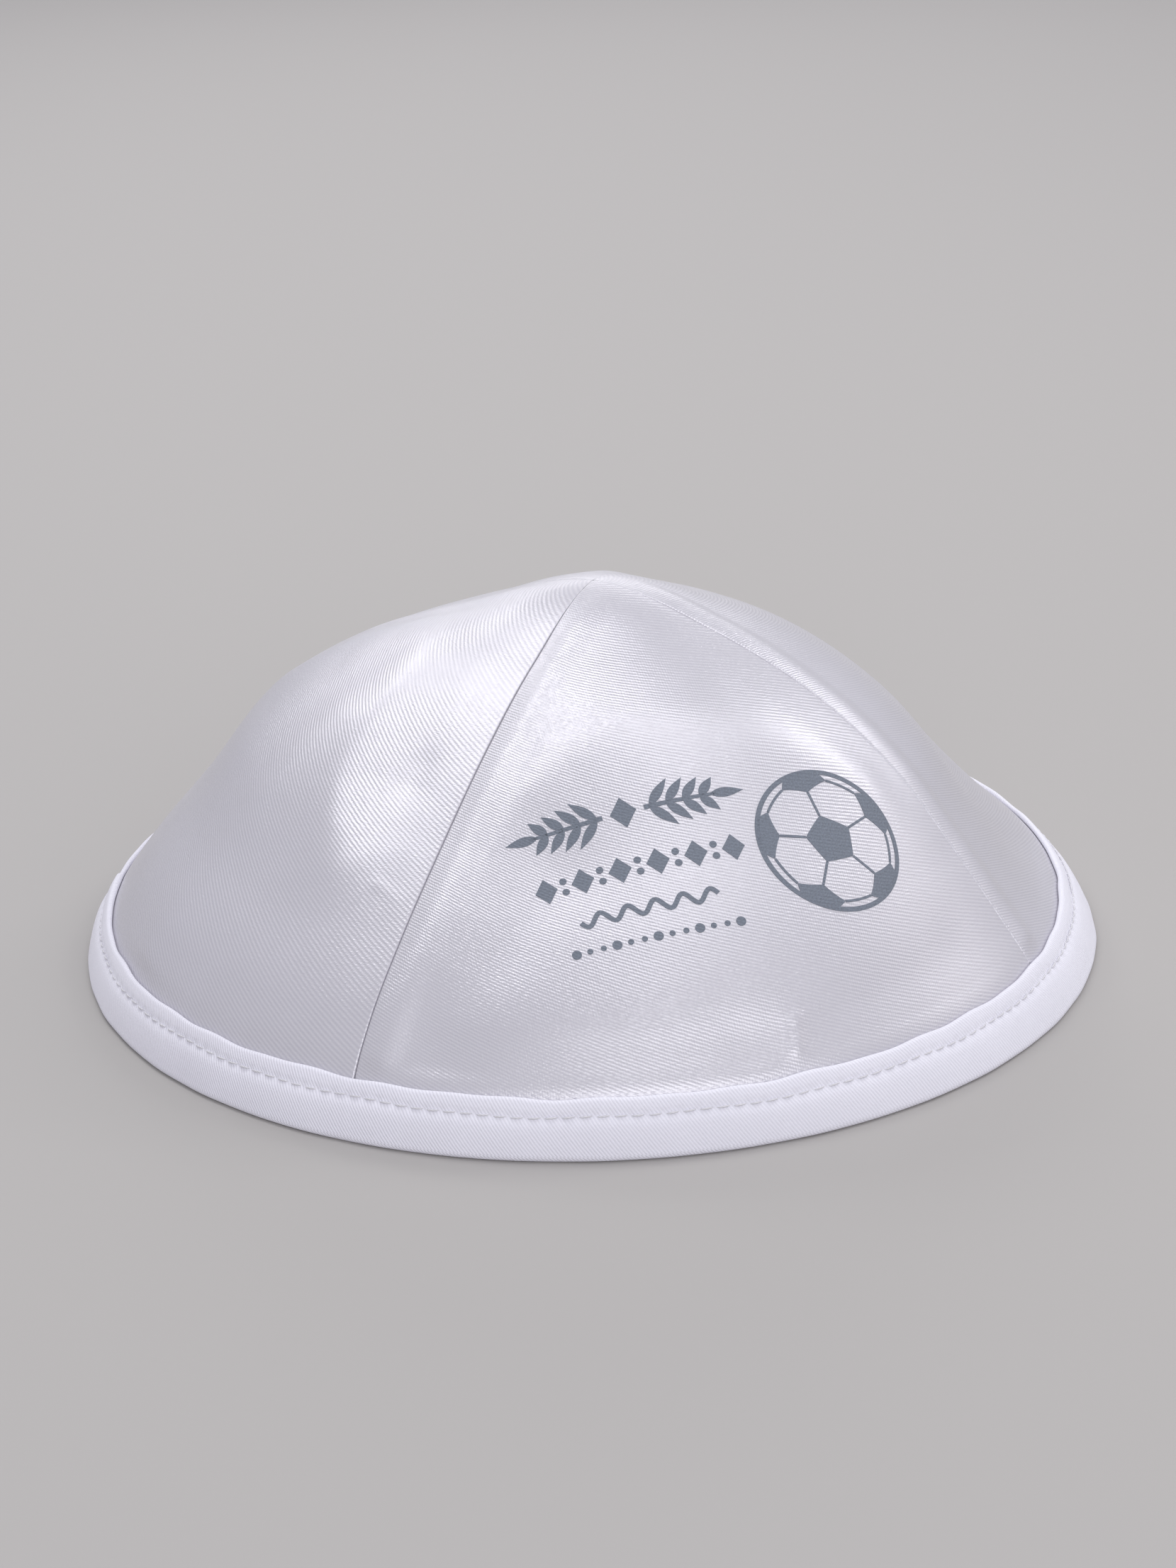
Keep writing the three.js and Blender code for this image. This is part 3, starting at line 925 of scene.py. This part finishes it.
def on_front_panel(sizes, middle_elevation, flat):
    """Across and elevation of places on the front panel, given in metres on the flat print.

    The flat print is laid on a ball of the panel's mean radius, without changing any distance from its
    middle, and seen square to the panel. The place there is found by Newton's method.
    """
    ball, first_width, first_height = 62 * MM, 90 * MM, 70 * MM
    small, rounds = 1e-4, 8
    distance = np.linalg.norm(flat, axis=-1, keepdims=True)
    flat = flat * np.sinc(distance / ball / math.pi)
    centre = crown_point(sizes, FRONT, 0.5, middle_elevation)
    outward = crown_normal(sizes, FRONT, np.array(0.5), np.array(middle_elevation))
    azimuth = azimuth_at(FRONT, 0.5)
    rightward = np.array((math.cos(azimuth), math.sin(azimuth), 0))
    rightward = unit(rightward - outward * (rightward @ outward))
    upward = np.cross(outward, rightward)
    sides = joined(rightward, upward)
    across = 0.5 + flat[..., 0] / first_width
    elevation = middle_elevation + flat[..., 1] / first_height

    def seen(across, elevation):
        return (crown_point(sizes, FRONT, across, elevation) - centre) @ sides

    for _ in range(rounds):
        here = seen(across, elevation)
        by_across = (seen(across + small, elevation) - here) / small
        by_elevation = (seen(across, elevation + small) - here) / small
        step = np.linalg.solve(joined(by_across, by_elevation), (flat - here)[..., None])
        across, elevation = across + step[..., 0, 0], elevation + step[..., 1, 0]
    return across, elevation


def printed(flat):
    """A slab of print over a grid of flat places, from just under the satin's face to the film's height."""
    scene = bpy.context.scene
    sizes, binding, sheet = scene.kippah_crown, scene.kippah_binding, scene.kippah_print
    across, elevation = on_front_panel(sizes, sheet.middle_elevation, flat * MM)
    face = satin_point(sizes, binding, FRONT, across, elevation)
    outward = crown_normal(sizes, FRONT, across, elevation)
    points, faces = slab(face + outward * sheet.film, face - outward * sheet.film / 2)
    return points, faces, np.tile(cloth_pattern(sizes, FRONT, across, elevation), (2, 1))


def stroke(path, width):
    """A line of an even or changing width along a path, as a grid of three points across."""
    forward = unit(np.gradient(path, axis=0))
    aside = joined(-forward[:, 1], forward[:, 0]) * np.reshape(width, (-1, 1)) / 2
    return np.stack((path + aside, path, path - aside), axis=1)[:, ::-1]


def leaf(start, angle, length, width):
    """A pointed leaf: a line whose width is that of half a sine wave, fuller near its stalk."""
    steps, fullness = 13, 0.8
    t = np.linspace(0, 1, steps)
    path = start + t[:, None] * length * np.array((math.cos(angle), math.sin(angle)))
    return stroke(path, width * np.maximum(np.sin(math.pi * t**fullness), POINT))


def sprig(along, up, length, height):
    """A diamond between two leafy twigs that mirror each other, each with its leaves in pairs."""
    pairs, lean, steps, shrink = 4, math.radians(48), 30, 0.3
    core, end_leaf, start, last_pair = 0.5 * height, 0.65 * height, 0.4 * height, 1.35 * height
    size, leaf_width, end_width = core / math.sin(lean), 0.19 * height, 0.2 * height
    stem_width = np.linspace(0.1, 0.06, steps) * height
    t = np.linspace(start, length / 2 - core, steps)
    twig = [stroke(joined(t, 0), stem_width)]
    for pair in range(pairs):
        share = pair / (pairs - 1)
        stalk = np.array((core + share * (length / 2 - last_pair), 0))
        for side in (-1, 1):
            twig.append(leaf(stalk, side * lean, size * (1 - shrink * share), leaf_width))
    twig.append(leaf(np.array((length / 2 - end_leaf, 0)), 0, end_leaf, end_width))
    mirrored = [shape[:, ::-1] * np.array((-1, 1)) for shape in twig]
    middle = np.array((along, up))
    return [diamond(along, up, core, end_leaf)] + [shape + middle for shape in twig + mirrored]


def diamond(along, up, width, height):
    """A diamond, as a line that widens to its middle."""
    t = np.linspace(-1, 1, SHAPE_STEPS)
    path = joined(along + t * width / 2, up)
    return stroke(path, height * np.maximum(1 - np.abs(t), POINT))


def disc(along, up, radius):
    """A round dot, as a line whose width is that of a circle."""
    t = np.sin(np.linspace(-QUARTER, QUARTER, SHAPE_STEPS))
    path = joined(along + t * radius, up)
    return stroke(path, 2 * radius * np.maximum(np.sqrt(1 - t**2), 2 * POINT))


def diamonds(along, up, length, height):
    """A row of diamonds with a pair of dots between each two."""
    count, width = 6, 0.8 * height
    dot, apart = 0.13 * height, 0.22 * height
    pitch = (length - width) / (count - 1)
    shapes = []
    for i in range(count):
        middle = along + (i - (count - 1) / 2) * pitch
        shapes.append(diamond(middle, up, width, height))
        if i < count - 1:
            shapes += [disc(middle + pitch / 2, up + side * apart, dot) for side in (-1, 1)]
    return shapes


def wave(along, up, length, height):
    """A waving line."""
    steps, periods, swing, width = 80, 5, 0.36 * height, 0.28 * height
    t = np.linspace(-0.5, 0.5, steps)
    path = joined(along + t * length, up + swing * np.sin(t * periods * 2 * math.pi))
    return [stroke(path, np.full(steps, width))]


def dots(along, up, length, height):
    """A row of dots, every third one large."""
    count, large, little = 13, height / 2, 0.3 * height
    shapes = []
    for i in range(count):
        middle = along + (i / (count - 1) - 0.5) * (length - height)
        shapes.append(disc(middle, up, little if i % 3 else large))
    return shapes


def ball_places(directions, radius):
    """Flat places of directions on a ball seen from above."""
    return np.array(ROUNDEL_MIDDLE) + directions[..., :2] * radius


def roundel(radius):
    """A ball of twelve pentagons and twenty hexagons, seen square to one pentagon.

    The pentagons stand round the corners of an icosahedron and reach a third of the way along its edges.
    Those in view are filled, and the joints between hexagons are lines along those edges.
    """
    ring = math.atan(2)  # from the middle corner to the next five
    fifth = 2 * math.pi / 5
    turn = math.radians(100)
    horizon = 0.12  # lines closer to the ball's outline than this aren't drawn
    rings, edge_steps, line_steps, rim_steps = 5, 5, 14, 97

    def corner(number, side):
        angle = turn + number * fifth
        out = math.sin(ring)
        return np.array((out * math.cos(angle), out * math.sin(angle), side * math.cos(ring)))

    top = np.array((0.0, 0.0, 1.0))
    near = [corner(i, 1) for i in range(5)]
    far = [corner(i + 0.5, -1) for i in range(5)]
    shapes = []

    def pentagon(middle, neighbours):
        edges = np.array([unit(middle * 2 / 3 + other / 3) for other in neighbours])
        t = np.linspace(0, 1, edge_steps + 1)[:-1, None]
        outline = np.concatenate([edges[i] + t * (edges[(i + 1) % 5] - edges[i]) for i in range(5)])
        outline = np.concatenate((outline, outline[:1]))
        share = np.linspace(POINT, 1, rings)[:, None, None]
        directions = unit(middle + share * (outline[None] - middle))
        shapes.append(ball_places(directions, radius)[::-1])

    def joint(start, end):
        t = np.linspace(1 / 3, 2 / 3, line_steps)[:, None]
        directions = unit(start * (1 - t) + end * t)
        inside = directions[directions[:, 2] > horizon]
        if len(inside) > 3:
            shapes.append(stroke(ball_places(inside, radius), np.full(len(inside), BALL_LINE)))

    pentagon(top, near)
    for i in range(5):
        after, before = near[(i + 1) % 5], near[i - 1]
        pentagon(near[i], [top, before, far[i - 1], far[i], after])
        joint(top, near[i])
        joint(near[i], after)
        joint(near[i], far[i])
        joint(near[i], far[i - 1])
    around = np.linspace(0, 2 * math.pi, rim_steps)
    circle = joined(np.cos(around), np.sin(around))
    band = np.array((radius, radius - BALL_RIM / 2, radius - BALL_RIM))[:, None, None]
    shapes.append(np.array(ROUNDEL_MIDDLE) + band * circle)
    return shapes


ORNAMENTS = {"sprig": sprig, "diamonds": diamonds, "wave": wave, "dots": dots}


def make_print(material):
    """The print on the front panel: rows of ornament and a ball."""
    radius = bpy.context.scene.kippah_print.roundel_radius / MM
    ornament = [shape for kind, *sizes in ORNAMENT_ROWS for shape in ORNAMENTS[kind](*sizes)]
    for name, shapes in (("print_ornament", ornament), ("print_roundel", roundel(radius))):
        new_piece(name, *together([printed(shape) for shape in shapes], material, "print"))


def make_floor():
    """A wide plain floor with a soft, matt finish."""
    sides = (-FLOOR_REACH, FLOOR_REACH)
    mesh = bpy.data.meshes.new("floor")
    corners = [(x, y, 0) for y in sides for x in sides]
    mesh.from_pydata(corners, [], [(0, 1, 3, 2)])
    floor = put("floor", mesh)
    mesh.materials.append(new_material("Pale floor", "floor", 0.7)[0])


def add_softbox(name, place, width, height, watts, colour):
    """A rectangular area light that faces the skullcap."""
    light = bpy.data.lights.new(name, "AREA")
    light.shape = "RECTANGLE"
    light.size, light.size_y = width, height
    light.energy = watts
    light.color = colour
    lamp = put(name, light)
    lamp.location = place
    lamp.rotation_euler = (Vector(LIGHTS_AIM) - Vector(place)).to_track_quat("-Z", "Y").to_euler()


def make_camera():
    """The camera, on the circle round the centre of the rim that the photograph was taken from."""
    stage = bpy.context.scene.kippah_stage
    data = bpy.data.cameras.new("camera")
    data.sensor_width = SENSOR
    data.lens = stage.focal_pixels * SENSOR / PHOTO_HEIGHT
    data.clip_start = 10 * MM
    camera = put("camera", data)
    place = Vector((0, -math.cos(stage.elevation), math.sin(stage.elevation))) * stage.distance
    pitch = Matrix.Rotation(QUARTER - (stage.elevation - stage.aim_drop), 4, "X")
    roll = Matrix.Rotation(stage.roll, 4, "Z")
    camera.matrix_world = Matrix.Translation(place) @ pitch @ roll
    bpy.context.scene.camera = camera


class KIPPAH_OT_panels(bpy.types.Operator):
    """Make the four satin panels of the crown"""

    bl_idname = "kippah.panels"
    bl_label = "Satin panels"

    def execute(self, context):
        material = satin_material()
        for panel in range(len(PANELS)):
            make_panel(panel, material)
        return {"FINISHED"}


class KIPPAH_OT_binding(bpy.types.Operator):
    """Make the folded tape round the rim"""

    bl_idname = "kippah.binding"
    bl_label = "Edge binding"

    def execute(self, context):
        make_binding(tape_material())
        return {"FINISHED"}


class KIPPAH_OT_stitches(bpy.types.Operator):
    """Make the stitches of the binding"""

    bl_idname = "kippah.stitches"
    bl_label = "Stitches"

    def execute(self, context):
        make_stitches(painted_shade_thread_material())
        return {"FINISHED"}


class KIPPAH_OT_print(bpy.types.Operator):
    """Make the print on the front panel"""

    bl_idname = "kippah.print"
    bl_label = "Print"

    def execute(self, context):
        make_print(print_material())
        return {"FINISHED"}


class KIPPAH_OT_stage(bpy.types.Operator):
    """Make the floor, the soft lights and the camera"""

    bl_idname = "kippah.stage"
    bl_label = "Floor, lights and camera"

    def execute(self, context):
        make_floor()
        for light in LIGHTS:
            add_softbox(*light)
        world = bpy.data.worlds.new("studio")
        world.use_nodes = True
        background = world.node_tree.nodes["Background"]
        background.inputs["Color"].default_value = SKY_COLOUR
        background.inputs["Strength"].default_value = SKY_STRENGTH
        context.scene.world = world
        context.scene.view_settings.view_transform = "Standard"
        make_camera()
        return {"FINISHED"}


class KIPPAH_PT_sidebar(bpy.types.Panel):
    """Lists the pieces of the skullcap and their sizes"""

    bl_idname = "KIPPAH_PT_sidebar"
    bl_label = "Kippah"
    bl_space_type = "VIEW_3D"
    bl_region_type = "UI"
    bl_category = "Kippah"

    def draw(self, context):
        for label, group in GROUPS.items():
            box = self.layout.box()
            box.label(text=group.__doc__)
            settings = getattr(context.scene, label)
            for name in group.__annotations__:
                box.prop(settings, name)
        for operator in OPERATORS:
            self.layout.operator(operator.bl_idname)


GROUPS = {
    "kippah_crown": CrownSizes,
    "kippah_binding": BindingSizes,
    "kippah_print": PrintSizes,
    "kippah_finishes": Finishes,
    "kippah_stage": StageSettings,
}
OPERATORS = (
    KIPPAH_OT_panels,
    KIPPAH_OT_binding,
    KIPPAH_OT_stitches,
    KIPPAH_OT_print,
    KIPPAH_OT_stage,
)
CLASSES = (*GROUPS.values(), *OPERATORS, KIPPAH_PT_sidebar)


def register():
    for cls in CLASSES:
        bpy.utils.register_class(cls)
    for label, group in GROUPS.items():
        setattr(bpy.types.Scene, label, PointerProperty(type=group))


def unregister():
    for label in GROUPS:
        delattr(bpy.types.Scene, label)
    for cls in reversed(CLASSES):
        bpy.utils.unregister_class(cls)


def main():
    register()
    bpy.ops.kippah.panels()
    bpy.ops.kippah.binding()
    bpy.ops.kippah.stitches()
    bpy.ops.kippah.print()
    bpy.ops.kippah.stage()


if __name__ == "__main__":
    main()
